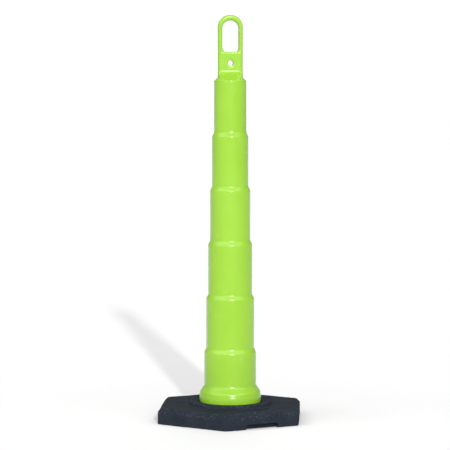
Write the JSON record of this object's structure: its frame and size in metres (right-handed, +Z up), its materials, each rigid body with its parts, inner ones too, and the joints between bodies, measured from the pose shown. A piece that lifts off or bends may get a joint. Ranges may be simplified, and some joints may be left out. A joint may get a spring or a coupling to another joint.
{
  "type": "traffic channelizer cone",
  "caption": "Tall stepped channelizer cone with a flat loop handle, standing in a loose hexagonal rubber base with hand slots.",
  "frame": {"origin": "on the floor, at the tube's axis, which is also the middle of the base", "axes": "+Z up along the tube's axis; +Y is the normal of the handle plate, and the light's bolt hole runs along it; +X is across the handle"},
  "size_m": [0.4254, 0.445, 1.1429],
  "materials": {
    "lime_polyethylene": "satin",
    "recycled_rubber": "dull, moulded from rubber crumb"
  },
  "bodies": {
    "cone": {"cone_body": "lime_polyethylene"},
    "base": {"rubber_base": "recycled_rubber"}
  },
  "joints": [
    {"name": "base_lift", "type": "slide", "parent": "cone", "child": "base", "axis": [0, 0, 1], "range_m": [0, 1.16]}
  ]
}
